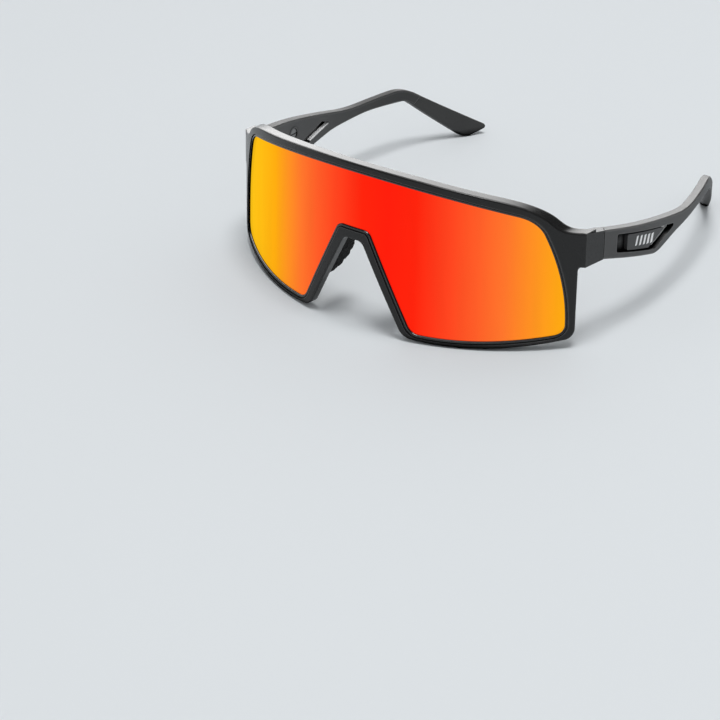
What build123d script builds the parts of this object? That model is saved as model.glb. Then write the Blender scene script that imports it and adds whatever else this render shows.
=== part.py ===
from build123d import *
from math import sqrt
import os

# Wraparound sport sunglasses: a full-rim front around one cylindrical mirror shield, with two
# folding temples that carry badge plates and rubber ear grips. Millimetres.
#
# Design frame: X towards the wearer's left, Y back towards the ears, Z up along the straight lines of
# the lens cylinder, with the origin at the front vertex of the lens. REST then tips everything into
# the row frame, where the glasses stand open on a table: origin in the middle of their footprint.

os.makedirs("parts", exist_ok=True)

# --- The stance on the table -------------------------------------------------------------------
PITCH = 7.17  # degrees that the lens leans back when rims and ear tips touch the table
TABLE_DROP = 30.66  # from the lens vertex down to the table
FOOTPRINT_Y = 64.5  # from the lens vertex back to the middle of the footprint

# --- Lens and rim ------------------------------------------------------------------------------
LENS_RADIUS = 98.0  # the shield is part of a vertical cylinder
LENS_THICKNESS = 1.5
LENS_PLAY = 0.05  # per side, in the groove
GROOVE_DEPTH = 0.5  # of the lens groove behind the edge of the opening
RIM_FRONT_LIP = 1.05  # rim in front of the lens face
RIM_BACK_LIP = 0.85
RIM_SIDE = 68.8  # half width of the rims, at their front edge
OUTLINE_REACH = 75.0  # the outline runs on past the sides, which are cut square to the lens
RIM_BOTTOM = -23.9  # height of their outer lower corners
RIM_CORNER = 4.0  # rounding of those corners
RIM_EDGE = 0.6  # rounding of the outer edge
BEAD = (0.9, 0.3)  # stepped bead around the lens: its width, how far it lies behind the rim
STRUT_DEPTH = 1.45  # central strut behind the lens
STRUT_TOP = (9.0, 24.6)  # width, height
STRUT_FOOT = (7.2, 2.0)

# --- End pieces and hinges ---------------------------------------------------------------------
JOINT_Y = 37.5  # the split between front and temple
JOINT_GAP = 0.1
LUG_CORNER = (70.4, 28.35)  # where the front turns into the side
LUG_OUTSIDE = 70.9
LUG_INSIDE = 67.0
LUG_TOP = (11.9, 10.2)  # at the corner, at the split
LUG_BOTTOM = 0.3
LUG_BLEND = 1.2  # hollow rounding between the lug and the rim's side
HINGE = (68.6, 37.5)  # pivot in plan
KNUCKLE_RADIUS = 1.65
KNUCKLE_RELIEF = 1.8
KNUCKLE_WEB = 2.2  # ties the middle knuckle to the temple
LOWER_KNUCKLE = (LUG_BOTTOM, 3.5)
UPPER_KNUCKLE = (7.0, 10.0)
MIDDLE_KNUCKLE = (3.6, 6.9)
PIN = (0.65, 8.6)  # radius and length of the hinge screw
PIN_HOLE = (0.7, 8.8)
SCREW_HEAD = (1.15, 0.75)  # radius, height
HEAD_HOLE = (1.2, 0.8)
DRIVE_SLOT = (0.4, 0.45)  # width, depth of the screwdriver slots

# --- Temples -----------------------------------------------------------------------------------
# Outer face in plan: a bow that swells past the hinges and closes in behind the ears.
BOW = [
    (69.3, 31), (70.95, 37.6), (73.2, 48), (74.2, 60), (73.9, 70), (72.8, 82), (70.1, 95),
    (65.9, 108), (60.6, 118.5), (52.4, 130), (46.6, 137),
]  # fmt: skip
TEMPLE_THICK = (3.9, 2.6)  # at the hinge, at the tip
TEMPLE_EDGE = 0.45  # bevel along the long edges
BAND = (-20.0, 16.0)  # heights that clear every temple profile
# Side view behind the joint, from the brow over the ear bend to the tip and back along the underside:
# each corner with its rounding.
TEMPLE_CORNERS = [
    ((83.9, 3.6), 45), ((107.6, 6.65), 12), ((135.2, -11.1), 1.3), ((129.3, -14.7), 0.8),
    ((127.3, -14.25), 0.8), ((108.1, 1.95), 5), ((92.3, 1.2), 60), ((75.1, -1.6), 40),
    ((63.7, -5.25), 8),
]  # fmt: skip
WINDOW = [(43.0, 7.5), (75.2, 1.9), (62.9, -3.3), (43.0, 1.2)]  # badge window, side view
WINDOW_DEPTH = 1.75
PLATE = [(48.2, 5.95), (68.9, 2.45), (59.1, -1.8), (48.2, 0.5)]
PLATE_INSET = 0.45
SLOT = [(58.7, -1.5), (62.7, -3.0), (74.0, 1.6), (69.4, 3.0)]  # goes through the temple
BOSS_ALONG = 0.2  # the screw behind the badge: its place along the bow
BOSS_HEIGHT = 2.8
BADGE_SHANK = (0.7, 0.75)  # radius of the screw, of its hole
BADGE_HEAD = (1.9, 1.95, 0.8, 0.1)  # radius of head, of recess; recess depth, gap over the head
BADGE_SCREW_REACH = 0.8  # depth of thread in the plate
GRIP_SEAM = (112.0, 1.3)  # where the rubber sleeve starts, side view
GRIP_ANGLE = -38.0  # direction of the temple there
CORE_INSET = 0.75  # rubber over the flat faces of the core
CORE_WIDTH = 2.8
CORE_LENGTH = 17.0

# --- Nose pads ---------------------------------------------------------------------------------
PAD_CENTRE = (9.45, 8.0, -8.5)  # on the face that meets the nose
PAD_NORMAL = (-0.912, 0.091, -0.401)
PAD_THICK = 2.2
PAD_EDGE = 0.7  # rounding of the leaf
STUD_AT = (10.0, -8.6)  # front view
STUD = (0.8, 0.85)  # radius of the stud, of its hole
STUD_SPAN = (1.2, 5.0)  # depth where the stud ends, and where it is rooted in the pad
STUD_GAP = 0.2  # between the stud's end and the end of its hole

REST = Pos(0, -FOOTPRINT_Y, TABLE_DROP) * Rot(X=-PITCH)
SKY = 60.0  # longer than any cut or prism needs


def nearest(builder, *points):
    """The corners of a sketch that lie closest to the points."""
    return [builder.vertices().sort_by_distance((*p, 0))[0] for p in points]


def shell(front, back):
    """A vertical wall between two cylinders that share the lens axis, as wide as the front."""
    with BuildPart() as wall:
        with BuildSketch(Plane.XY.offset(-SKY / 2)):
            with Locations((0, LENS_RADIUS)):
                Circle(LENS_RADIUS + front)
                Circle(LENS_RADIUS - back, mode=Mode.SUBTRACT)
            with Locations((0, 15)):
                Rectangle(2 * LUG_CORNER[0], 40, mode=Mode.INTERSECT)
        extrude(amount=SKY)
    return wall.part


def prism(sketch, amount=SKY):
    """A sketch drawn in front view, pushed both ways through the front."""
    with BuildPart() as solid:
        extrude(sketch, amount=amount, both=True)
    return solid.part


# --- Outlines in front view --------------------------------------------------------------------
with BuildSketch(Plane.XZ) as rim_outline:
    with BuildLine():
        brow = Spline(
            (0, 26.3), (25, 25.2), (43, 22.8), (57.5, 18.8), (61, 16.3), (64.5, 13), (68.5, 12),
            (OUTLINE_REACH, LUG_TOP[0]), tangents=((1, 0), (1, 0)),
        )  # fmt: skip
        Polyline(brow @ 1, (OUTLINE_REACH, RIM_BOTTOM), (RIM_SIDE, RIM_BOTTOM))
        ThreePointArc((RIM_SIDE, RIM_BOTTOM), (48, -28.6), (19.2, -29.4))
        Polyline((19.2, -29.4), (3.6, 0), (0, 0))
        mirror(about=Plane.YZ)
    make_face()
    for side in (1, -1):
        fillet(nearest(rim_outline, (side * 19.2, -29.4)), 5)
        fillet(nearest(rim_outline, (side * 3.6, 0)), 3)

with BuildSketch(Plane.XZ) as opening:
    with BuildLine():
        ThreePointArc((58.4, 15.8), (64.1, -1), (66.1, -22.6))
        ThreePointArc((66.1, -22.6), (46.5, -26.5), (22, -27.75))
        Line((22, -27.75), (6.1, 4))
        mirror(about=Plane.YZ)
        ThreePointArc((-58.4, 15.8), (0, 23.2), (58.4, 15.8))
        Line((-6.1, 4), (6.1, 4))
    make_face()
    for side in (1, -1):
        fillet(nearest(opening, (side * 58.4, 15.8)), 9.5)
        fillet(nearest(opening, (side * 66.1, -22.6)), 4)
        fillet(nearest(opening, (side * 22, -27.75)), 4.5)
        fillet(nearest(opening, (side * 6.1, 4)), 3)


def opening_grown(distance):
    """The lens opening with its edge moved outwards."""
    with BuildSketch(Plane.XZ) as grown:
        add(opening.sketch)
        offset(amount=distance)
    return grown.sketch


# --- Lens --------------------------------------------------------------------------------------
lens_sheet = shell(0, LENS_THICKNESS)
lens_shape = prism(opening_grown(GROOVE_DEPTH - LENS_PLAY))
with BuildPart() as shield_lens:
    add(lens_sheet)
    add(lens_shape, mode=Mode.INTERSECT)

# --- Front frame, wearer's left end piece first -------------------------------------------------
with BuildPart() as end_piece:
    with BuildSketch(Plane.XY.offset(LUG_BOTTOM)):
        with BuildLine():
            Polyline(
                (63, 23.5), LUG_CORNER, (LUG_OUTSIDE, JOINT_Y), (LUG_INSIDE, JOINT_Y),
                (LUG_INSIDE, 33.5), (60.5, 24), close=True,
            )  # fmt: skip
        make_face()
    extrude(amount=LUG_TOP[0] - LUG_BOTTOM)
    with BuildSketch(Plane.YZ):
        with BuildLine():
            Polyline(
                (20, LUG_TOP[0]), (LUG_CORNER[1], LUG_TOP[0]), (JOINT_Y, LUG_TOP[1]),
                (JOINT_Y, LUG_BOTTOM), (20, LUG_BOTTOM), close=True,
            )  # fmt: skip
        make_face()
    extrude(amount=2 * SKY, mode=Mode.INTERSECT)
    for low, high in (LOWER_KNUCKLE, UPPER_KNUCKLE):
        with BuildSketch(Plane.XY.offset(low)):
            with Locations(HINGE):
                Circle(KNUCKLE_RADIUS)
        extrude(amount=high - low)
    with BuildSketch(Plane.XY.offset(LOWER_KNUCKLE[1])):
        with Locations(HINGE):
            Circle(KNUCKLE_RELIEF)
    extrude(amount=UPPER_KNUCKLE[0] - LOWER_KNUCKLE[1], mode=Mode.SUBTRACT)
    with Locations(Location((*HINGE, LOWER_KNUCKLE[0]), (180, 0, 0))):
        CounterBoreHole(PIN_HOLE[0], *HEAD_HOLE, PIN_HOLE[1])

# The sides of the rims stand square on the lens, below the lugs.
rim_radius = LENS_RADIUS + RIM_FRONT_LIP
rim_depth = RIM_FRONT_LIP + LENS_THICKNESS + RIM_BACK_LIP
rim_side = Vector(RIM_SIDE, -sqrt(rim_radius**2 - RIM_SIDE**2))
with BuildPart() as side_cut:
    with BuildSketch(
        Plane(
            origin=(rim_side.X, LENS_RADIUS + rim_side.Y, LUG_BOTTOM),
            x_dir=(-rim_side.Y, rim_side.X, 0),
            z_dir=(0, 0, 1),
        )
    ):
        Rectangle(SKY, SKY / 2, align=(Align.MIN, Align.CENTER))
    extrude(amount=-SKY)
    mirror(about=Plane.YZ)

rim_sheet = shell(RIM_FRONT_LIP, LENS_THICKNESS + RIM_BACK_LIP)
rim_shape = prism(rim_outline.sketch)
lens_hole = prism(opening.sketch)
groove_sheet = shell(LENS_PLAY, LENS_THICKNESS + LENS_PLAY)
groove_shape = prism(opening_grown(GROOVE_DEPTH))
with BuildPart() as lens_groove:
    add(groove_sheet)
    add(groove_shape, mode=Mode.INTERSECT)

strut_sheet = shell(-LENS_THICKNESS - LENS_PLAY, LENS_THICKNESS + LENS_PLAY + STRUT_DEPTH)
with BuildPart() as strut:
    with BuildSketch(Plane.XZ):
        with BuildLine():
            Polyline(
                (-STRUT_TOP[0] / 2, STRUT_TOP[1]), (STRUT_TOP[0] / 2, STRUT_TOP[1]),
                (STRUT_FOOT[0] / 2, STRUT_FOOT[1]), (-STRUT_FOOT[0] / 2, STRUT_FOOT[1]),
                close=True,
            )  # fmt: skip
        make_face()
    extrude(amount=SKY, both=True)
    add(strut_sheet, mode=Mode.INTERSECT)

with BuildPart() as stud_hole:
    with BuildSketch(Plane.XZ.offset(-STUD_SPAN[1])):
        with Locations(STUD_AT, (-STUD_AT[0], STUD_AT[1])):
            Circle(STUD[1])
    extrude(amount=STUD_SPAN[1] - STUD_SPAN[0] + STUD_GAP)

with BuildPart() as rim:
    add(rim_sheet)
    add(rim_shape, mode=Mode.INTERSECT)
    add(lens_hole, mode=Mode.SUBTRACT)
    add(side_cut.part, mode=Mode.SUBTRACT)
    for height, radius in ((RIM_BOTTOM, RIM_CORNER), (LUG_BOTTOM, LUG_BLEND)):
        for side in (1, -1):
            corner = rim.edges().sort_by_distance((side * RIM_SIDE, LENS_RADIUS + rim_side.Y, height))
            fillet(corner.filter_by(lambda edge: edge.length < 1.2 * rim_depth)[0], radius)
    broad_faces = rim.faces().filter_by(GeomType.CYLINDER).sort_by(SortBy.AREA)[-2:]
    front_face = broad_faces.sort_by(Axis.Y)[0]
    fillet(front_face.outer_wire().edges(), RIM_EDGE)

step_sheet = shell(2 * RIM_FRONT_LIP, BEAD[1] - RIM_FRONT_LIP)
step_shape = prism(opening_grown(BEAD[0]))
with BuildPart() as bead_step:
    add(step_sheet)
    add(step_shape, mode=Mode.INTERSECT)

with BuildPart() as front_frame:
    add(rim.part)
    add(end_piece.part)
    mirror(end_piece.part, about=Plane.YZ)
    add(lens_hole, mode=Mode.SUBTRACT)
    add(bead_step.part, mode=Mode.SUBTRACT)
    add(strut.part)
    add(lens_groove.part, mode=Mode.SUBTRACT)
    add(stud_hole.part, mode=Mode.SUBTRACT)

# --- Temple, wearer's left: every shape here is a side view cut out of the bow --------------------
with BuildLine() as bow:
    Spline(*BOW)


def bow_line(at_hinge, at_tip):
    """Points of the bow moved inwards by a depth that changes from the hinge to the tip."""
    steps = len(BOW) - 1
    points = []
    for step in range(steps + 1):
        along = step / steps
        tangent = bow.line % along
        inwards = Vector(-tangent.Y, tangent.X)
        points.append(bow.line @ along + inwards * (at_hinge + (at_tip - at_hinge) * along))
    return points


def bow_wall(outer, inner):
    """A wall that follows the bow between two depths, each given at the hinge and at the tip."""
    with BuildPart() as wall:
        with BuildSketch(Plane.XY.offset(BAND[0])):
            with BuildLine():
                outer_line = Spline(*bow_line(*outer))
                inner_line = Spline(*bow_line(*inner))
                Line(outer_line @ 0, inner_line @ 0)
                Line(outer_line @ 1, inner_line @ 1)
            make_face()
        extrude(amount=BAND[1] - BAND[0])
    return wall.part


def side_prism(points, radius):
    """A polygon in side view with rounded corners, pushed through the temple."""
    with BuildPart() as solid:
        with BuildSketch(Plane.YZ) as profile:
            with BuildLine():
                Polyline(*points, close=True)
            make_face()
            fillet(profile.vertices(), radius)
        extrude(amount=2 * SKY)
    return solid.part


with BuildSketch(Plane.YZ) as temple_profile:
    with BuildLine():
        Polyline(
            (JOINT_Y + JOINT_GAP, LUG_TOP[1]), *[corner for corner, radius in TEMPLE_CORNERS],
            (JOINT_Y + JOINT_GAP, LUG_BOTTOM), close=True,
        )  # fmt: skip
    make_face()
    for corner, radius in TEMPLE_CORNERS:
        fillet(nearest(temple_profile, corner), radius)

with BuildPart() as temple_prism:
    extrude(temple_profile.sketch, amount=2 * SKY)

temple_wall = bow_wall((0, 0), TEMPLE_THICK)
pocket_wall = bow_wall((-2, -2), (WINDOW_DEPTH, WINDOW_DEPTH))
plate_wall = bow_wall((PLATE_INSET, PLATE_INSET), (WINDOW_DEPTH, WINDOW_DEPTH))
core_wall = bow_wall(
    (CORE_INSET, CORE_INSET), (TEMPLE_THICK[0] - CORE_INSET, TEMPLE_THICK[1] - CORE_INSET)
)
window_prism = side_prism(WINDOW, 0.6)
plate_prism = side_prism(PLATE, 0.5)
slot_prism = side_prism(SLOT, 0.5)

with BuildPart() as window_pocket:
    add(window_prism)
    add(pocket_wall, mode=Mode.INTERSECT)

with BuildPart() as temple_blank:
    add(temple_wall)
    add(temple_prism.part, mode=Mode.INTERSECT)
    long_edges = temple_blank.edges().filter_by(lambda edge: edge.length > 3 * TEMPLE_THICK[0])
    chamfer(long_edges, TEMPLE_EDGE)

# The rubber sleeve covers everything behind a slanted cut; the core of the arm runs into it.
seam_plane = Plane(
    origin=(0, *GRIP_SEAM), x_dir=(1, 0, 0), z_dir=Vector(0, 1, 0).rotate(Axis.X, GRIP_ANGLE)
)
with BuildPart() as behind_seam:
    with BuildSketch(seam_plane):
        Rectangle(4 * SKY, SKY)
    extrude(amount=SKY)

with BuildPart() as core:
    with BuildSketch(seam_plane):
        Rectangle(4 * SKY, CORE_WIDTH)
    extrude(amount=CORE_LENGTH)
    add(core_wall, mode=Mode.INTERSECT)

with BuildPart() as ear_grip:
    add(temple_blank.part)
    add(behind_seam.part, mode=Mode.INTERSECT)
    add(core.part, mode=Mode.SUBTRACT)

# The badge screw sits in the inner face and reaches through the wall into the plate.
boss_tangent = bow.line % BOSS_ALONG
boss_depth = TEMPLE_THICK[0] + (TEMPLE_THICK[1] - TEMPLE_THICK[0]) * BOSS_ALONG
boss_outwards = Vector(boss_tangent.Y, -boss_tangent.X)
boss_plane = Plane(
    origin=bow.line @ BOSS_ALONG - boss_outwards * boss_depth + Vector(0, 0, BOSS_HEIGHT),
    z_dir=boss_outwards,
)
boss_reach = boss_depth - WINDOW_DEPTH + BADGE_SCREW_REACH

with BuildPart() as boss_hole:
    with BuildSketch(boss_plane.offset(-1)):
        Circle(BADGE_HEAD[1])
    extrude(amount=1 + BADGE_HEAD[2])
    with BuildSketch(boss_plane):
        Circle(BADGE_SHANK[1])
    extrude(amount=boss_reach)

with BuildPart() as badge_plate:
    add(plate_wall)
    add(plate_prism, mode=Mode.INTERSECT)
    add(boss_hole.part, mode=Mode.SUBTRACT)

with BuildPart() as temple_arm:
    add(temple_blank.part)
    add(behind_seam.part, mode=Mode.SUBTRACT)
    add(core.part)
    add(window_pocket.part, mode=Mode.SUBTRACT)
    add(slot_prism, mode=Mode.SUBTRACT)
    add(boss_hole.part, mode=Mode.SUBTRACT)
    with BuildSketch(Plane.XY.offset(LUG_BOTTOM)):
        with Locations(HINGE):
            Circle(KNUCKLE_RELIEF)
            Rectangle(KNUCKLE_RELIEF, KNUCKLE_RELIEF, align=(Align.MAX, Align.MIN))
    extrude(amount=SKY, both=True, mode=Mode.SUBTRACT)
    with BuildSketch(Plane.XY.offset(MIDDLE_KNUCKLE[0])):
        with Locations(HINGE):
            Circle(KNUCKLE_RADIUS)
        with Locations((HINGE[0], JOINT_Y + JOINT_GAP)):
            Rectangle(KNUCKLE_RELIEF, KNUCKLE_WEB, align=(Align.MIN, Align.MIN))
    extrude(amount=MIDDLE_KNUCKLE[1] - MIDDLE_KNUCKLE[0])
    with BuildSketch(Plane.XY.offset(LUG_BOTTOM)):
        with Locations(HINGE):
            Circle(PIN_HOLE[0])
    extrude(amount=LUG_TOP[0] - LUG_BOTTOM, mode=Mode.SUBTRACT)

# --- Small parts -------------------------------------------------------------------------------
with BuildPart() as hinge_screw:
    with BuildSketch(Plane.XY.offset(LOWER_KNUCKLE[0])):
        with Locations(HINGE):
            Circle(SCREW_HEAD[0])
    extrude(amount=SCREW_HEAD[1])
    with BuildSketch(Plane.XY.offset(LOWER_KNUCKLE[0])):
        with Locations(HINGE):
            Circle(PIN[0])
    extrude(amount=PIN[1])
    with BuildSketch(Plane.XY.offset(LOWER_KNUCKLE[0])):
        with Locations(HINGE):
            Rectangle(3 * SCREW_HEAD[0], DRIVE_SLOT[0])
    extrude(amount=DRIVE_SLOT[1], mode=Mode.SUBTRACT)

with BuildPart() as badge_screw:
    with BuildSketch(boss_plane.offset(BADGE_HEAD[3])):
        Circle(BADGE_HEAD[0])
    extrude(amount=BADGE_HEAD[2] - BADGE_HEAD[3])
    with BuildSketch(boss_plane.offset(BADGE_HEAD[3])):
        Circle(BADGE_SHANK[0])
    extrude(amount=boss_reach - 2 * BADGE_HEAD[3])
    with BuildSketch(boss_plane.offset(BADGE_HEAD[3])):
        Rectangle(3 * BADGE_HEAD[0], DRIVE_SLOT[0])
    extrude(amount=DRIVE_SLOT[1], mode=Mode.SUBTRACT)

# --- Nose pad: a leaf cut from a leaning slab, with a stud into the rim ---------------------------
pad_plane = Plane(origin=PAD_CENTRE, z_dir=PAD_NORMAL)
behind_rim = shell(2 * STUD_SPAN[1], LENS_THICKNESS + RIM_BACK_LIP)
with BuildPart() as nose_pad:
    with BuildSketch(pad_plane):
        Rectangle(SKY, SKY)
    extrude(amount=-PAD_THICK)
    with BuildSketch(Plane.YZ):
        with BuildLine():
            Spline(
                (4, -1.2), (10.8, -3.6), (13.4, -7.9), (12.6, -13.4), (8.8, -16.3), (3, -16.4),
                (-2, -9), periodic=True,
            )  # fmt: skip
        make_face()
    extrude(amount=SKY, mode=Mode.INTERSECT)
    fillet(nose_pad.edges().sort_by(SortBy.LENGTH)[-2:], PAD_EDGE)
    add(behind_rim, mode=Mode.SUBTRACT)
    with BuildSketch(Plane.XZ.offset(-STUD_SPAN[1])):
        with Locations(STUD_AT):
            Circle(STUD[0])
    extrude(amount=STUD_SPAN[1] - STUD_SPAN[0])


# --- Mirror, stand on the table and write --------------------------------------------------------
def save(solid, name):
    """Move a finished piece into the row frame and write it under its name."""
    with BuildPart() as piece:
        add(REST * solid)
    piece.part.label = name
    export_step(piece.part, f"parts/{name}.step")


save(front_frame.part, "front_frame")
save(shield_lens.part, "shield_lens")
SIDED = {
    "nose_pad": nose_pad.part,
    "temple_arm": temple_arm.part,
    "badge_plate": badge_plate.part,
    "badge_screw": badge_screw.part,
    "ear_grip": ear_grip.part,
    "hinge_screw": hinge_screw.part,
}
for name, solid in SIDED.items():
    save(solid, f"{name}_left")
    save(solid.mirror(Plane.YZ), f"{name}_right")
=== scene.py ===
"""Looks for the wraparound sport sunglasses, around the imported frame. Metres."""

import math

import bmesh
import bpy
from mathutils import Matrix, Vector, noise
from mathutils.bvhtree import BVHTree


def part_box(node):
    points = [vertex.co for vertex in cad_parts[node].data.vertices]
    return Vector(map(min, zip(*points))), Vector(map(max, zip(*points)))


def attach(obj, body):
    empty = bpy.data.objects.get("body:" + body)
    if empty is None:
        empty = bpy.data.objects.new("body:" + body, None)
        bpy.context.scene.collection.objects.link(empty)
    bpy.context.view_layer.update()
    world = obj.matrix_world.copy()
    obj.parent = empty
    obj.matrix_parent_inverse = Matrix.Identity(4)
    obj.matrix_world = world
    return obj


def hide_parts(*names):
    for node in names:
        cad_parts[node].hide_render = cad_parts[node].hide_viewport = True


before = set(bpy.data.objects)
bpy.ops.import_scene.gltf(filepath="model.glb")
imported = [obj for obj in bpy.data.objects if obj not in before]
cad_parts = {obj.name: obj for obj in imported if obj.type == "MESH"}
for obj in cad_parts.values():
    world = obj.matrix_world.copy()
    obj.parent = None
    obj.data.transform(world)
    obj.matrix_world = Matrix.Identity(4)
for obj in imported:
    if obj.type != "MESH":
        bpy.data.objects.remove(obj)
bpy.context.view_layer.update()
MM = 0.001
SIDES = {"left": 1, "right": -1}
FORWARDS = -0.3  # a face looks forwards where the y of its normal is below this
SHADER_RAYS = 6  # rays sent out for each rounded edge and each hollow


# --- Node helpers --------------------------------------------------------------------------------
class Nodes:
    """Builds one node tree with short calls."""

    def __init__(self, name, tree=None):
        if tree is None:
            self.material = bpy.data.materials.new(name)
            self.material.use_nodes = True
            tree = self.material.node_tree
        self.tree = tree
        self.tree.nodes.clear()

    def add(self, kind, inputs=None, **settings):
        node = self.tree.nodes.new(kind)
        for key, value in settings.items():
            setattr(node, key, value)
        for key, value in (inputs or {}).items():
            self.feed(value, node.inputs[key])
        return node

    def feed(self, value, socket):
        if isinstance(value, bpy.types.NodeSocket):
            self.tree.links.new(value, socket)
        else:
            socket.default_value = value

    def math(self, operation, *values):
        node = self.add("ShaderNodeMath", operation=operation)
        for socket, value in zip(node.inputs, values):
            self.feed(value, socket)
        return node.outputs[0]

    def vector(self, operation, *values):
        node = self.add("ShaderNodeVectorMath", dict(enumerate(values)), operation=operation)
        return node.outputs["Value" if operation == "DOT_PRODUCT" else "Vector"]

    def mix(self, factor, first, second):
        node = self.add("ShaderNodeMix", data_type="RGBA")
        for socket, value in zip((node.inputs[0], node.inputs[6], node.inputs[7]), (factor, first, second)):
            self.feed(value, socket)
        return node.outputs[2]

    def place(self):
        """The object coordinates: metres in the row frame, because every piece sits at the origin."""
        return self.add("ShaderNodeTexCoord").outputs["Object"]

    def noise(self, scale, detail=2.0, vector=None, roughness=0.5):
        inputs = {"Vector": vector or self.place(), "Scale": scale, "Detail": detail, "Roughness": roughness}
        return self.add("ShaderNodeTexNoise", inputs).outputs["Fac"]

    def split(self, vector):
        return self.add("ShaderNodeSeparateXYZ", {"Vector": vector}).outputs

    def step(self, value, low, high, to_low=0.0, to_high=1.0):
        inputs = {"Value": value, "From Min": low, "From Max": high, "To Min": to_low, "To Max": to_high}
        return self.add("ShaderNodeMapRange", inputs, interpolation_type="SMOOTHSTEP").outputs[0]

    def ramp(self, factor, stops):
        node = self.add("ShaderNodeValToRGB", {"Fac": factor})
        node.color_ramp.interpolation = "LINEAR"
        elements = node.color_ramp.elements
        for element in list(elements)[1:]:
            elements.remove(element)
        elements[0].position, elements[0].color = stops[0][0], (*stops[0][1], 1)
        for position, colour in stops[1:]:
            elements.new(position).color = (*colour, 1)
        return node.outputs["Color"]

    def bump(self, height, distance, strength, normal=None):
        inputs = {"Height": height, "Distance": distance, "Strength": strength}
        if normal is not None:
            inputs["Normal"] = normal
        return self.add("ShaderNodeBump", inputs).outputs["Normal"]

    def rounded(self, radius):
        """Normals that catch light along sharp moulded edges."""
        return self.add("ShaderNodeBevel", {"Radius": radius}, samples=SHADER_RAYS).outputs["Normal"]

    def surface(self, shader):
        self.add("ShaderNodeOutputMaterial", {"Surface": shader})
        return self.material

    def principled(self, **inputs):
        named = {key.replace("_", " "): value for key, value in inputs.items()}
        return self.add("ShaderNodeBsdfPrincipled", named).outputs[0]


def grey(value):
    return (value, value, value, 1)


def linear(*colour):
    """Screen colour 0 to 255 as linear light."""
    return tuple(((c / 255 + 0.055) / 1.055) ** 2.4 if c > 10 else c / 255 / 12.92 for c in colour)


# --- Materials -----------------------------------------------------------------------------------
# Noise scales are in waves to the metre. A pair named EDGE is where a smooth step starts and ends.
EAR_SHADE_SPAN = (-5 * MM, 40 * MM)  # where painted shade darkens the arms, from behind the badge to the ear bend
CLOUD_SCALE = 70
SCUFF_SCALE = 900
SCUFF_EDGE = (0.62, 0.75)
SCUFF_SHARE = 0.15
# Painted shade in hollows, found by ambient occlusion.
HOLLOW_REACH = 3.4 * MM
HOLLOW_EDGE = (0.72, 0.98)  # openness, from deep in a hollow to a free face
HOLLOW_SHADE_LEVEL = 0.06  # brightness under painted shade in a hollow, as a share of the plastic's own
HIGHLIGHT_REACH = 0.7 * MM  # reach of the painted highlight along edges
HIGHLIGHT_EDGE = (0.92, 0.995)  # agreement of rounded and flat normals, from an edge to a flat face
HIGHLIGHT_SHARE = 0.6
HIGHLIGHT_LIFT = 0.1
GRAIN_DEPTH = 0.01 * MM


def satin_plastic(name, level, roughness, shine, grain_mm=0.22, edge_mm=0.22, crown=0.0, ear_shade_level=1.0):
    """Moulded nylon: a fine even grain, slightly uneven gloss, and edges that catch the light. A crown
    tips the normals of top faces inwards. Towards the ears the plastic darkens with painted shade.
    Hollows get painted shade, and edges get a painted highlight a little lighter."""
    nodes = Nodes(name)
    cloudy = nodes.noise(CLOUD_SCALE, 4)
    grain = nodes.noise(1 / (grain_mm * MM), 3)
    scuffs = nodes.step(nodes.noise(SCUFF_SCALE, 5, roughness=0.7), *SCUFF_EDGE)
    place = nodes.split(nodes.place())
    # Painted shade: the arms darken towards the ears.
    painted_ear_shade = nodes.step(place["Y"], *EAR_SHADE_SPAN, 1.0, ear_shade_level)
    # Painted shade: hollows darken, and further down they lose their gloss.
    around = nodes.add("ShaderNodeAmbientOcclusion", {"Distance": HOLLOW_REACH}, samples=SHADER_RAYS)
    open_share = nodes.step(around.outputs["AO"], *HOLLOW_EDGE)
    colour = nodes.mix(cloudy, grey(level * 0.8), grey(level * 1.2))
    colour = nodes.mix(nodes.math("MULTIPLY", scuffs, SCUFF_SHARE), colour, grey(level * 2.2))
    colour = nodes.mix(nodes.math("MULTIPLY", painted_ear_shade, open_share), grey(level * HOLLOW_SHADE_LEVEL), colour)
    rough = nodes.math("MULTIPLY_ADD", cloudy, 0.1, roughness - 0.05)
    rough = nodes.math("MULTIPLY_ADD", grain, 0.06, rough)
    edges = nodes.rounded(edge_mm * MM)
    flat = nodes.add("ShaderNodeNewGeometry").outputs["Normal"]
    agree = nodes.vector("DOT_PRODUCT", nodes.rounded(HIGHLIGHT_REACH), flat)
    # Painted highlight: edges a little lighter.
    painted_edge_highlight = nodes.math("MULTIPLY", nodes.step(agree, *HIGHLIGHT_EDGE, HIGHLIGHT_SHARE, 0.0), open_share)
    colour = nodes.mix(painted_edge_highlight, colour, grey(level * 0.8 + HIGHLIGHT_LIFT))
    if crown:
        upwards = nodes.math("MAXIMUM", nodes.split(edges)["Z"], 0.0)
        side = nodes.math("SIGN", place["X"])
        inwards = nodes.math("MULTIPLY", side, nodes.math("MULTIPLY", upwards, -crown))
        tip = nodes.add("ShaderNodeCombineXYZ", {"X": inwards}).outputs[0]
        edges = nodes.vector("NORMALIZE", nodes.vector("ADD", edges, tip))
    normal = nodes.bump(grain, GRAIN_DEPTH, 0.5, edges)
    # Painted shade: less gloss in hollows.
    gloss = nodes.math("MULTIPLY", open_share, shine)
    return nodes.surface(
        nodes.principled(Base_Color=colour, Roughness=rough, Normal=normal, Specular_IOR_Level=gloss)
    )


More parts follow.
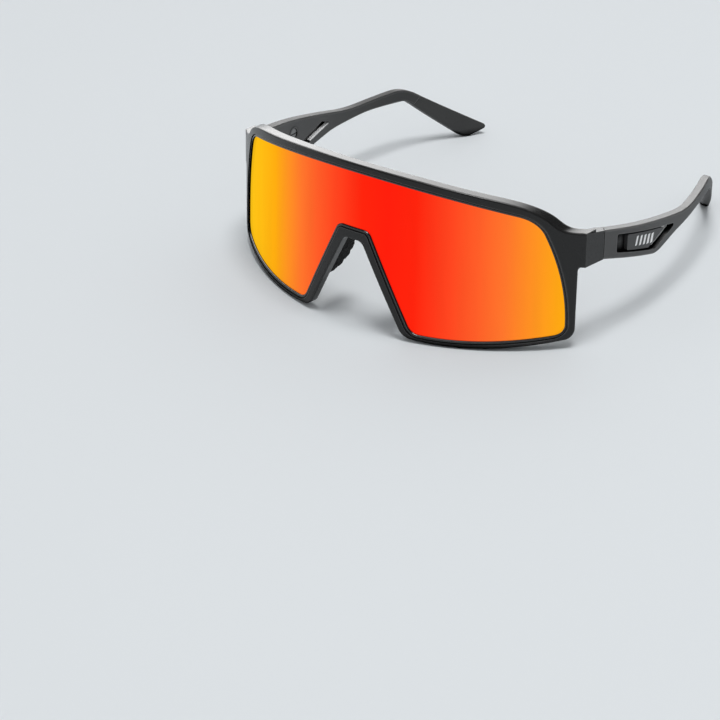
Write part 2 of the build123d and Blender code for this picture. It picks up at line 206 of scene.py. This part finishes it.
# Colour of the mirror coating by the distance from its red middle, in mm.
MIRROR = [
    (0, (254, 30, 12)), (10, (254, 36, 13)), (16, (253, 54, 24)), (22, (253, 70, 32)),
    (30, (253, 93, 40)), (38, (253, 117, 44)), (46, (253, 146, 34)), (54, (253, 171, 16)),
    (66, (253, 188, 20)), (80, (253, 196, 24)),
]  # fmt: skip
MIRROR_DRIFT = 23 * MM  # how far the red middle follows the eye sideways
PAINTED_REFLECTION_LEVEL = 0.9  # strength of the painted reflection that the coating gives off as emission, at its weakest
PAINTED_STREAK_LIFT = 0.12  # extra painted reflection along the brightest streaks
STREAK_SCALE = 160
STREAK_SQUASH = (1.0, 1.0, 0.06)  # the streaks run up and down
MIRROR_TINT = 0.16  # share of the coating's colour in its reflections
FRONT_CLEAR = 0.07  # share of the light that passes the coating
FRONT_TINT = (0.30, 0.24, 0.20, 1)
SMOKE = (0.012, 0.009, 0.008, 1)
BACK_CLEAR = 0.45  # share of the light that passes the smoke tint
BACK_TINT = (0.5, 0.42, 0.36, 1)


def mirror_lens():
    """Front: a red to amber mirror coating, its reflection painted as emission. Back: smoke tint."""
    nodes = Nodes("mirror_lens")
    geometry = nodes.add("ShaderNodeNewGeometry")
    across = nodes.split(nodes.place())["X"]
    eye = nodes.split(geometry.outputs["Incoming"])["X"]
    from_middle = nodes.math("ABSOLUTE", nodes.math("MULTIPLY_ADD", eye, -MIRROR_DRIFT, across))
    span = MIRROR[-1][0]
    stops = [(distance / span, linear(*colour)) for distance, colour in MIRROR]
    colour = nodes.ramp(nodes.math("DIVIDE", from_middle, span * MM), stops)
    streaks = nodes.noise(STREAK_SCALE, 2, nodes.vector("MULTIPLY", nodes.place(), STREAK_SQUASH))
    painted_reflection_strength = nodes.math("MULTIPLY_ADD", streaks, PAINTED_STREAK_LIFT, PAINTED_REFLECTION_LEVEL)
    # The camera sees the coating as painted reflection: emission in the coating's colour, standing in for
    # the bright studio it mirrors.
    seen = nodes.add("ShaderNodeLightPath").outputs["Is Camera Ray"]
    painted_reflection = nodes.add(
        "ShaderNodeEmission", {"Color": colour, "Strength": nodes.math("MULTIPLY", painted_reflection_strength, seen)}
    ).outputs[0]
    tint = nodes.mix(MIRROR_TINT, grey(0), colour)
    gloss = nodes.add("ShaderNodeBsdfAnisotropic", {"Color": tint, "Roughness": 0.12}).outputs[0]
    coating = nodes.add("ShaderNodeAddShader", {0: painted_reflection, 1: gloss}).outputs[0]
    clear = nodes.add("ShaderNodeBsdfTransparent", {"Color": FRONT_TINT}).outputs[0]
    front = nodes.add("ShaderNodeMixShader", {0: FRONT_CLEAR, 1: coating, 2: clear}).outputs[0]
    smoke = nodes.principled(Base_Color=SMOKE, Roughness=0.05)
    tinted = nodes.add("ShaderNodeBsdfTransparent", {"Color": BACK_TINT}).outputs[0]
    back = nodes.add("ShaderNodeMixShader", {0: BACK_CLEAR, 1: smoke, 2: tinted}).outputs[0]
    facing = nodes.split(geometry.outputs["True Normal"])["Y"]
    is_back = nodes.math("GREATER_THAN", facing, FORWARDS)
    return nodes.surface(nodes.add("ShaderNodeMixShader", {0: is_back, 1: front, 2: back}).outputs[0])


BLOOM_EDGE = (0.5, 0.58)  # pointiness, from a flat face to a high spot
BLOOM_SHARE = 0.4


def rubber(name, level, pebble_mm, depth_mm):
    """Soft rubber with a fine pebbled skin and a dusty bloom on its high spots."""
    nodes = Nodes(name)
    pebbles = nodes.add(
        "ShaderNodeTexVoronoi", {"Vector": nodes.place(), "Scale": 1 / (pebble_mm * MM)}, feature="SMOOTH_F1"
    ).outputs["Distance"]
    cloudy = nodes.noise(150, 4)
    colour = nodes.mix(cloudy, grey(level * 0.7), grey(level * 1.35))
    bloom = nodes.step(nodes.add("ShaderNodeNewGeometry").outputs["Pointiness"], *BLOOM_EDGE)
    colour = nodes.mix(nodes.math("MULTIPLY", bloom, BLOOM_SHARE), colour, grey(level * 2.5))
    normal = nodes.bump(pebbles, depth_mm * MM, 0.6, nodes.rounded(0.2 * MM))
    return nodes.surface(
        nodes.principled(Base_Color=colour, Roughness=0.7, Specular_IOR_Level=0.12, Normal=normal)
    )


RIB_SCALE = 520
RIB_DEPTH = 0.03 * MM


def ribbed_plate(name, level):
    """Moulded insert with fine lengthwise ribs."""
    nodes = Nodes(name)
    ribs = nodes.add(
        "ShaderNodeTexWave", {"Vector": nodes.place(), "Scale": RIB_SCALE, "Distortion": 0.3, "Detail": 1.0},
        wave_type="BANDS", bands_direction="Z",
    ).outputs["Fac"]  # fmt: skip
    cloudy = nodes.noise(200, 3)
    colour = nodes.mix(nodes.math("MULTIPLY", ribs, cloudy), grey(level * 0.75), grey(level * 1.3))
    normal = nodes.bump(ribs, RIB_DEPTH, 0.7, nodes.rounded(0.15 * MM))
    return nodes.surface(nodes.principled(Base_Color=colour, Roughness=0.42, Normal=normal))


SCRATCH_SCALE = 4000


def steel(name):
    """Turned steel, lightly scratched."""
    nodes = Nodes(name)
    scratches = nodes.noise(SCRATCH_SCALE, 2)
    rough = nodes.math("MULTIPLY_ADD", scratches, 0.2, 0.22)
    normal = nodes.bump(scratches, 0.01 * MM, 0.4, nodes.rounded(0.1 * MM))
    return nodes.surface(
        nodes.principled(Base_Color=grey(0.2), Metallic=1.0, Roughness=rough, Normal=normal)
    )


PEEL_SCALE = 600
PEEL_DEPTH = 0.02 * MM


def gloss_black(name):
    """Glossy black gasket with a faint orange-peel skin."""
    nodes = Nodes(name)
    peel = nodes.noise(PEEL_SCALE, 2)
    colour = nodes.mix(peel, grey(0.002), grey(0.006))
    rough = nodes.math("MULTIPLY_ADD", peel, 0.08, 0.14)
    normal = nodes.bump(peel, PEEL_DEPTH, 0.4)
    return nodes.surface(
        nodes.principled(Base_Color=colour, Roughness=rough, Specular_IOR_Level=1.0, Normal=normal)
    )


INK_SCALE = 2500
INK_UNEVENNESS = 0.008 * MM


def white_ink_and_slot_light(name):
    """Pad-printed white ink, a little uneven. The slot strips wear it as painted light."""
    nodes = Nodes(name)
    cloudy = nodes.noise(INK_SCALE, 3)
    colour = nodes.mix(cloudy, grey(0.86), grey(1.0))
    normal = nodes.bump(cloudy, INK_UNEVENNESS, 0.5)
    return nodes.surface(nodes.principled(Base_Color=colour, Roughness=0.45, Normal=normal))


# The arms get painted shade towards the ears, down to half their brightness.
ARM = satin_plastic("temple_satin", level=0.068, roughness=0.42, shine=0.42, crown=0.36, ear_shade_level=0.5)
FRAME = satin_plastic("frame_satin", level=0.01, roughness=0.25, shine=0.36, edge_mm=0.3)
PAD_RUBBER = rubber("pad_rubber", level=0.004, pebble_mm=0.45, depth_mm=0.16)
GRIP_RUBBER = satin_plastic(
    "grip_rubber", level=0.044, roughness=0.46, shine=0.38, grain_mm=0.14, crown=0.36
)
WHITE = white_ink_and_slot_light("white_ink_and_slot_light")
MATERIALS = {
    "front_frame": FRAME,
    "shield_lens": mirror_lens(),
    "nose_pad": PAD_RUBBER,
    "temple_arm": ARM,
    "badge_plate": ribbed_plate("badge_ribbed", level=0.055),
    "badge_screw": steel("screw_steel"),
    "ear_grip": GRIP_RUBBER,
    "hinge_screw": steel("hinge_steel"),
}
for name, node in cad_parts.items():
    kind = name.removesuffix("_left").removesuffix("_right")
    node.data.materials.clear()
    node.data.materials.append(MATERIALS[kind])


# --- Soft pieces: sculpted from the outline of their CAD solids -----------------------------------
def remeshed(node, voxel, smooth_steps):
    """A fine even copy of a CAD solid with softened edges, as a mesh."""
    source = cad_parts[node]
    helper = bpy.data.objects.new("helper", source.data.copy())
    bpy.context.scene.collection.objects.link(helper)
    remesh = helper.modifiers.new("remesh", "REMESH")
    remesh.mode, remesh.voxel_size = "VOXEL", voxel
    smooth = helper.modifiers.new("smooth", "SMOOTH")
    smooth.factor, smooth.iterations = 0.5, smooth_steps
    evaluated = helper.evaluated_get(bpy.context.evaluated_depsgraph_get())
    mesh = bpy.data.meshes.new_from_object(evaluated)
    bpy.data.objects.remove(helper)
    return mesh


def surface_points(mesh):
    """Each vertex with its place and normal from before any vertex moves."""
    return [(vertex, vertex.co.copy(), vertex.normal.copy()) for vertex in mesh.vertices]


def outer_surface(node):
    """The surface of a CAD solid, for casting rays at it and finding its nearest point."""
    return BVHTree.FromObject(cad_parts[node], bpy.context.evaluated_depsgraph_get())


def skinned(name, rings, closed):
    """A closed mesh through rings of points. The rings run round in a loop, or are capped at both ends."""
    mesh = bmesh.new()
    rings = [[mesh.verts.new(point) for point in ring] for ring in rings]
    following_rings = rings[1:] + rings[:1] if closed else rings[1:]
    for ring, following in zip(rings, following_rings):
        for corner in range(len(ring)):
            after = (corner + 1) % len(ring)
            mesh.faces.new((ring[corner], following[corner], following[after], ring[after]))
    if not closed:
        mesh.faces.new(rings[0])
        mesh.faces.new(rings[-1])
    return finished(name, mesh)


def finished(name, mesh):
    bmesh.ops.recalc_face_normals(mesh, faces=mesh.faces)
    data = bpy.data.meshes.new(name)
    mesh.to_mesh(data)
    mesh.free()
    return data


def add_piece(name, mesh, material, body, smooth=True):
    for face in mesh.polygons:
        face.use_smooth = smooth
    mesh.materials.clear()
    mesh.materials.append(material)
    piece = bpy.data.objects.new(name, mesh)
    bpy.context.scene.collection.objects.link(piece)
    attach(piece, body)
    return piece


PAD_VOXEL = 0.22 * MM
PAD_SMOOTHING = 4
PEBBLES = ((0.2 * MM, 1.0 * MM), (0.09 * MM, 0.5 * MM))  # height and size of each layer of pebbles
SCALLOP_DEPTH = 0.6 * MM
SCALLOP_TURNS = 11  # scallops in a full turn round the pad, of which the rear ones show
SCALLOP_PHASE = 0.6
# Where the scallops set in and how far on they are full, as shares of the way from the pad's middle
REAR_START, REAR_SPAN = -0.2, 0.6  # to its rear
EDGE_START, EDGE_SPAN = 0.55, 0.35  # to its edge


def clamped(value):
    return max(0.0, min(1.0, value))


def nose_pad_skin(side):
    """A rubber leaf with a cast pebble skin and a scalloped rear edge."""
    mesh = remeshed(f"nose_pad_{side}", PAD_VOXEL, PAD_SMOOTHING)
    low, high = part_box(f"nose_pad_{side}")
    middle = (low + high) / 2
    half = (high - low) / 2
    for vertex, place, normal in surface_points(mesh):
        from_middle = place - middle
        upwards, rearwards = from_middle.z / half.z, from_middle.y / half.y
        angle = math.atan2(upwards, rearwards)
        rear_share = clamped((rearwards - REAR_START) / REAR_SPAN)
        edge_share = clamped((math.hypot(upwards, rearwards) - EDGE_START) / EDGE_SPAN)
        notch = max(0.0, math.sin(angle * SCALLOP_TURNS + SCALLOP_PHASE)) ** 2
        pebble = sum(height * noise.noise(place / size) for height, size in PEBBLES)
        towards_middle = Vector((0, -from_middle.y, -from_middle.z)).normalized()
        scallop = towards_middle * (SCALLOP_DEPTH * rear_share * edge_share * notch)
        vertex.co = place + normal * pebble + scallop
    piece = add_piece(f"nose_pad_soft_{side}", mesh, PAD_RUBBER, "front")
    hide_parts(f"nose_pad_{side}")


GRIP_VOXEL = 0.2 * MM
GRIP_SMOOTHING = 3
GRIP_WAVE_HEIGHT = 0.02 * MM
GRIP_WAVE_LENGTH = 1.5 * MM


def ear_grip_skin(side):
    """A rubber sleeve with soft edges and a finely uneven skin."""
    mesh = remeshed(f"ear_grip_{side}", GRIP_VOXEL, GRIP_SMOOTHING)
    for vertex, place, normal in surface_points(mesh):
        vertex.co = place + normal * (GRIP_WAVE_HEIGHT * noise.noise(place / GRIP_WAVE_LENGTH))
    piece = add_piece(f"ear_grip_soft_{side}", mesh, GRIP_RUBBER, f"{side}_temple")
    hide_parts(f"ear_grip_{side}")


# --- Badge mark: a plain row of slanted bars printed on the plate ---------------------------------
# Shares of the plate's box, along it and up it. The bars step down and widen towards the rear.
BAR_COUNT = 5
BAR_STEPS = 6  # pieces along a bar, so that it follows the plate's curve
FIRST_BAR = 0.19
BAR_SPACING = 0.1
BAR_WIDTH = 0.042
BAR_WIDENING = 0.005
BAR_FOOT = 0.40
BAR_HEAD = 0.74
BAR_DROP = 0.07
BAR_LEAN = 0.06
INK_BELOW = 0.05 * MM  # the ink reaches this far into the plate
INK_ABOVE = 0.06 * MM
BESIDE = 90 * MM  # rays start this far out, beside the temples


def badge_mark(side, sign):
    surface = outer_surface(f"badge_plate_{side}")
    low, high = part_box(f"badge_plate_{side}")
    size = high - low
    mesh = bmesh.new()
    for bar in range(BAR_COUNT):
        start = low.y + size.y * (FIRST_BAR + BAR_SPACING * bar)
        wide = size.y * (BAR_WIDTH + BAR_WIDENING * bar)
        bottom = low.z + size.z * (BAR_FOOT - BAR_DROP * bar)
        top = low.z + size.z * (BAR_HEAD - BAR_DROP * bar)
        rows = []
        for step in range(BAR_STEPS + 1):
            share = step / BAR_STEPS
            height = bottom + (top - bottom) * share
            lean = size.y * BAR_LEAN * share
            row = []
            for along in (start + lean, start + lean + wide):
                beside = Vector((sign * BESIDE, along, height))
                hit, normal, _, _ = surface.ray_cast(beside, Vector((-sign, 0, 0)))
                ends = hit - normal * INK_BELOW, hit + normal * INK_ABOVE
                row.append([mesh.verts.new(end) for end in ends])
            rows.append(row)
        for (a, b), (c, d) in zip(rows, rows[1:]):
            mesh.faces.new((a[1], b[1], d[1], c[1]))
            mesh.faces.new((a[0], c[0], d[0], b[0]))
            mesh.faces.new((a[0], a[1], c[1], c[0]))
            mesh.faces.new((b[0], d[0], d[1], b[1]))
        for a, b in (rows[0], rows[-1]):
            mesh.faces.new((a[0], b[0], b[1], a[1]))
    data = finished(f"badge_mark_{side}", mesh)
    add_piece(f"badge_mark_{side}", data, WHITE, f"{side}_temple", smooth=False)


# --- Moulded boss round the badge screw, on the inner face of the arm ------------------------------
BOSS_PROFILE = [(2.02, -0.1), (2.02, 0.12), (2.12, 0.22), (2.42, 0.22), (2.62, 0.06), (2.78, -0.1)]  # mm
BOSS_SEGMENTS = 72
BOSS_SEAT = 2.6 * MM  # the arm's slope is taken this far from the screw


def screw_boss(side, sign):
    low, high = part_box(f"badge_screw_{side}")
    centre = (low + high) / 2
    surface = outer_surface(f"temple_arm_{side}")
    hits = []
    for dy, dz in ((BOSS_SEAT, 0), (-BOSS_SEAT, 0), (0, BOSS_SEAT), (0, -BOSS_SEAT)):
        start = Vector((0, centre.y + dy, centre.z + dz))
        hits.append(surface.ray_cast(start, Vector((sign, 0, 0)))[0])
    origin = sum(hits, Vector()) / len(hits)
    normal = (hits[0] - hits[1]).cross(hits[2] - hits[3]).normalized()
    normal = normal if normal.x * sign < 0 else -normal
    turn = normal.to_track_quat("Z", "Y").to_matrix()
    rings = []
    for segment in range(BOSS_SEGMENTS):
        angle = math.tau * segment / BOSS_SEGMENTS
        ring = []
        for radius, height in BOSS_PROFILE:
            local = Vector((radius * math.cos(angle), radius * math.sin(angle), height)) * MM
            ring.append(origin + turn @ local)
        rings.append(ring)
    data = skinned(f"screw_boss_{side}", rings, closed=True)
    add_piece(f"screw_boss_{side}", data, ARM, f"{side}_temple")


# --- Glossy bead between the rim and the lens, along the edge of the lens opening -------------------
BEAD_RADIUS = 0.48 * MM
BEAD_SIDES = 12
BEAD_FORWARDS = 0.26 * MM
BEAD_OUTWARDS = 0.34 * MM
EDGE_REACH = 0.1 * MM  # the opening's edge lies this close to the lens
EDGE_TURN = math.radians(25)  # and is at least this sharp
WELD = 0.001 * MM  # the frame's points are joined where they lie this close


def opening_edge(lens):
    """The points round the lens opening, in order, as the longest chain of sharp edges by the lens."""
    mesh = bmesh.new()
    mesh.from_mesh(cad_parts["front_frame"].data)
    bmesh.ops.remove_doubles(mesh, verts=mesh.verts, dist=WELD)
    near = set()
    for vertex in mesh.verts:
        _, normal, _, distance = lens.find_nearest(vertex.co)
        if distance < EDGE_REACH and normal.y < FORWARDS:
            near.add(vertex)
    sharp = set()
    for edge in mesh.edges:
        if len(edge.link_faces) == 2 and near.issuperset(edge.verts) and edge.calc_face_angle() > EDGE_TURN:
            sharp.add(edge)
    longest = []
    while sharp:
        edge = min(sharp, key=lambda item: item.index)
        chain = [edge.verts[0]]
        while edge:
            sharp.discard(edge)
            chain.append(edge.other_vert(chain[-1]))
            edge = next((item for item in chain[-1].link_edges if item in sharp), None)
        longest = max(longest, chain, key=len)
    points = [vertex.co.copy() for vertex in longest[:-1]]
    mesh.free()
    return points


def lens_bead():
    lens = outer_surface("shield_lens")
    points = opening_edge(lens)
    area = sum(a.x * b.z - b.x * a.z for a, b in zip(points, points[1:] + points[:1]))
    rings = []
    for before, point, after in zip([points[-1]] + points, points, points[1:] + points[:1]):
        forwards = lens.find_nearest(point)[1]
        outwards = (after - before).cross(forwards).normalized() * math.copysign(1, area)
        centre = point + forwards * BEAD_FORWARDS + outwards * BEAD_OUTWARDS
        ring = []
        for side in range(BEAD_SIDES):
            angle = math.tau * side / BEAD_SIDES
            ring.append(centre + BEAD_RADIUS * (math.cos(angle) * forwards + math.sin(angle) * outwards))
        rings.append(ring)
    data = skinned("lens_bead", rings, closed=True)
    add_piece("lens_bead", data, gloss_black("bead_gloss"), "front")


# --- Painted light: a pale strip along the lower wall of the slot in each arm -----------------------
SLOT_LIGHT_FRONT = (-2.0 * MM, 20.15 * MM)  # y and z where the strip starts on the wall
SLOT_LIGHT_REAR = (8.5 * MM, 22.85 * MM)
SLOT_LIGHT_RISE = (-0.08 * MM, 0.30 * MM)  # y and z from the wall to the strip's top
SLOT_LIGHT_DEPTH = (0.15 * MM, 1.5 * MM)  # from the arm's inner face outwards
SLOT_LIGHT_SECTION = ((0, -0.3), (0, 0.8), (0.12, 1), (1, 1), (1, -0.3))  # shares of the depth and the rise
SLOT_LIGHT_STEPS = 24
SLOT_LIGHT_SIGHT = (0.2 * MM, -0.9 * MM)  # y and z from the strip to solid plastic under the slot


def slot_light_strip(side, sign):
    surface = outer_surface(f"temple_arm_{side}")
    inner_edge, outer_edge = SLOT_LIGHT_DEPTH
    rings = []
    for step in range(SLOT_LIGHT_STEPS + 1):
        share = step / SLOT_LIGHT_STEPS
        along, height = (front + (rear - front) * share for front, rear in zip(SLOT_LIGHT_FRONT, SLOT_LIGHT_REAR))
        below = Vector((0, along + SLOT_LIGHT_SIGHT[0], height + SLOT_LIGHT_SIGHT[1]))
        inner_face = surface.ray_cast(below, Vector((sign, 0, 0)))[0].x
        ring = []
        for depth, rise in SLOT_LIGHT_SECTION:
            across = inner_face + sign * (inner_edge + (outer_edge - inner_edge) * depth)
            ring.append((across, along + rise * SLOT_LIGHT_RISE[0], height + rise * SLOT_LIGHT_RISE[1]))
        rings.append(ring)
    data = skinned(f"slot_light_strip_{side}", rings, closed=False)
    # Painted light: the pale strip stands in for the bright light seen in the slot.
    add_piece(f"slot_light_strip_{side}", data, WHITE, f"{side}_temple", smooth=False)


for side, sign in SIDES.items():
    nose_pad_skin(side)
    ear_grip_skin(side)
    badge_mark(side, sign)
    screw_boss(side, sign)
    slot_light_strip(side, sign)
lens_bead()


# --- Stage, light and camera ---------------------------------------------------------------------
FLOOR_SIZE = 6  # metres
FLOOR_TONES = ((0.715, 0.748, 0.770, 1), (0.735, 0.765, 0.785, 1))


def pale_floor():
    bpy.ops.mesh.primitive_plane_add(size=FLOOR_SIZE)
    floor = bpy.context.object
    floor.name = "floor"
    nodes = Nodes("floor_pale")
    tone = nodes.mix(nodes.noise(3, 2), *FLOOR_TONES)
    floor.data.materials.append(
        nodes.surface(nodes.principled(Base_Color=tone, Roughness=0.8, Specular_IOR_Level=0.1))
    )


PANELS = [  # direction, cosines where the panel starts and is full, brightness
    ((-0.64, 0.65, 0.40), 0.78, 0.95, 5.0),
    ((0.0, 0.0, 1.0), 0.86, 0.96, 3.0),
    ((-0.9, -0.3, 0.35), 0.90, 0.97, 1.2),
]
PANEL_GAPS = 0.12  # brightness between the panels
SKY = 0.46  # brightness of the even sky
SKY_COLOUR = (0.97, 0.985, 1.0, 1)


def soft_studio():
    """Diffuse light comes from an even sky. Reflections see a dark studio with soft panels."""
    world = bpy.data.worlds.new("studio")
    bpy.context.scene.world = world
    world.use_nodes = True
    nodes = Nodes("studio", world.node_tree)
    towards = nodes.add("ShaderNodeTexCoord").outputs["Generated"]
    brightness = PANEL_GAPS
    for direction, start, full, power in PANELS:
        along = nodes.vector("DOT_PRODUCT", towards, Vector(direction).normalized())
        brightness = nodes.math("ADD", brightness, nodes.step(along, start, full, 0.0, power))
    even = nodes.add("ShaderNodeBackground", {"Color": SKY_COLOUR, "Strength": SKY}).outputs[0]
    panels = nodes.add("ShaderNodeBackground", {"Color": (1, 1, 1, 1), "Strength": brightness}).outputs[0]
    is_glossy = nodes.add("ShaderNodeLightPath").outputs["Is Glossy Ray"]
    sky = nodes.add("ShaderNodeMixShader", {0: is_glossy, 1: even, 2: panels}).outputs[0]
    nodes.add("ShaderNodeOutputWorld", {"Surface": sky})


KEY_PLACE = Vector((0.25, 0.0, 2.0))  # metres, aimed at the origin
KEY_SIZE = 0.82  # metres across
KEY_POWER = 22.5  # watts


def key_light():
    data = bpy.data.lights.new("key_light", "AREA")
    data.shape, data.size, data.energy = "DISK", KEY_SIZE, KEY_POWER
    light = bpy.data.objects.new("key_light", data)
    bpy.context.scene.collection.objects.link(light)
    light.location = KEY_PLACE
    light.rotation_euler = (-KEY_PLACE).to_track_quat("-Z", "Y").to_euler()


CAMERA_AZIMUTH = math.radians(40.892)
CAMERA_ELEVATION = math.radians(31.043)
CAMERA_ROLL = math.radians(-4.34)
CAMERA_DISTANCE = 811.9 * MM
CAMERA_AIM = Vector((48.0, -121.43, 29.97)) * MM
CAMERA_LENS = 136.52  # focal length in mm
CAMERA_NEAR = 10 * MM  # nothing closer than this is drawn


def main_camera():
    data = bpy.data.cameras.new("camera")
    data.lens, data.clip_start = CAMERA_LENS, CAMERA_NEAR
    camera = bpy.data.objects.new("camera", data)
    bpy.context.scene.collection.objects.link(camera)
    turn = (
        Matrix.Rotation(CAMERA_AZIMUTH, 4, "Z")
        @ Matrix.Rotation(math.pi / 2 - CAMERA_ELEVATION, 4, "X")
        @ Matrix.Rotation(CAMERA_ROLL, 4, "Z")
    )
    back_off = Matrix.Translation((0, 0, CAMERA_DISTANCE))
    camera.matrix_world = Matrix.Translation(CAMERA_AIM) @ turn @ back_off
    bpy.context.scene.camera = camera


pale_floor()
soft_studio()
key_light()
main_camera()
bpy.context.scene.view_settings.view_transform = "Standard"
